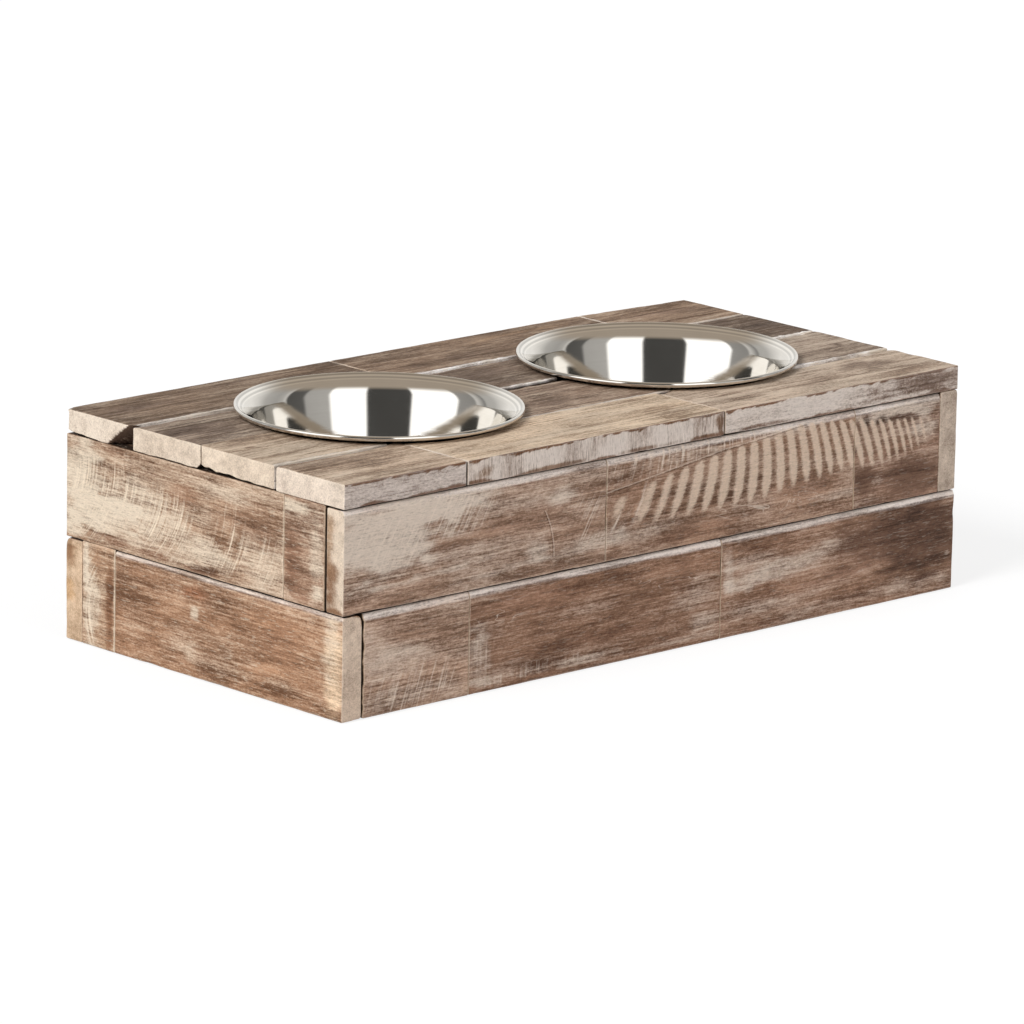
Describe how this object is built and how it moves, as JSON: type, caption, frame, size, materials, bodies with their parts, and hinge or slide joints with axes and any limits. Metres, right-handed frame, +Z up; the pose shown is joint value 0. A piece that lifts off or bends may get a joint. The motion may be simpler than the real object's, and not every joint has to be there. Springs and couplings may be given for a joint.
{
  "type": "raised pet feeder",
  "caption": "Low rectangular stand of butt-jointed reclaimed wood blocks that holds drop-in steel bowls side by side for a pet to eat and drink from.",
  "frame": {"origin": "on the floor, under the middle of the stand", "axes": "+Z up, +X along the length to the right as seen from the front, the long front faces -Y"},
  "size_m": [0.5, 0.247, 0.1455],
  "materials": {
    "deck_wood": "weathered grey-brown reclaimed hardwood with whitewash left in the grain",
    "front_wood": "rough-sawn reclaimed hardwood under a worn whitewash",
    "end_wood": "rough-sawn reclaimed hardwood under a worn whitewash",
    "inner_wood": "plain sawn softwood",
    "bowl_steel": "polished stainless steel with fine turned lines",
    "nail_steel": "plain wire nail",
    "screw_steel": "zinc-plated"
  },
  "bodies": {
    "stand": {"back_lower_left": "front_wood", "back_lower_middle": "front_wood", "back_lower_right": "front_wood", "back_upper_left": "front_wood", "back_upper_middle": "front_wood", "back_upper_right": "front_wood", "batten_left": "inner_wood", "batten_middle": "inner_wood", "batten_right": "inner_wood", "batten_screws": "screw_steel", "corner_nails": "nail_steel", "deck_back_left": "deck_wood", "deck_back_middle": "deck_wood", "deck_back_right": "deck_wood", "deck_front_left": "deck_wood", "deck_front_middle": "deck_wood", "deck_front_right": "deck_wood", "deck_inner_back_left": "deck_wood", "deck_inner_back_middle": "deck_wood", "deck_inner_back_right": "deck_wood", "deck_inner_front_left": "deck_wood", "deck_inner_front_middle": "deck_wood", "deck_inner_front_right": "deck_wood", "deck_nails": "nail_steel", "front_lower_left": "front_wood", "front_lower_middle": "front_wood", "front_lower_right": "front_wood", "front_upper_left": "front_wood", "front_upper_middle": "front_wood", "front_upper_right": "front_wood", "left_lower_back": "end_wood", "left_lower_front": "end_wood", "left_upper_back": "end_wood", "left_upper_front": "end_wood", "post_back_left": "inner_wood", "post_back_right": "inner_wood", "post_front_left": "inner_wood", "post_front_right": "inner_wood", "post_screws": "screw_steel", "right_lower_back": "end_wood", "right_lower_front": "end_wood", "right_upper_back": "end_wood", "right_upper_front": "end_wood"},
    "left_bowl": {"left_bowl": "bowl_steel"},
    "right_bowl": {"right_bowl": "bowl_steel"}
  },
  "joints": [
    {"name": "left_bowl_lift", "type": "slide", "parent": "stand", "child": "left_bowl", "axis": [0, 0, 1], "range_m": [0, 0.09]},
    {"name": "right_bowl_lift", "type": "slide", "parent": "stand", "child": "right_bowl", "axis": [0, 0, 1], "range_m": [0, 0.09]}
  ]
}
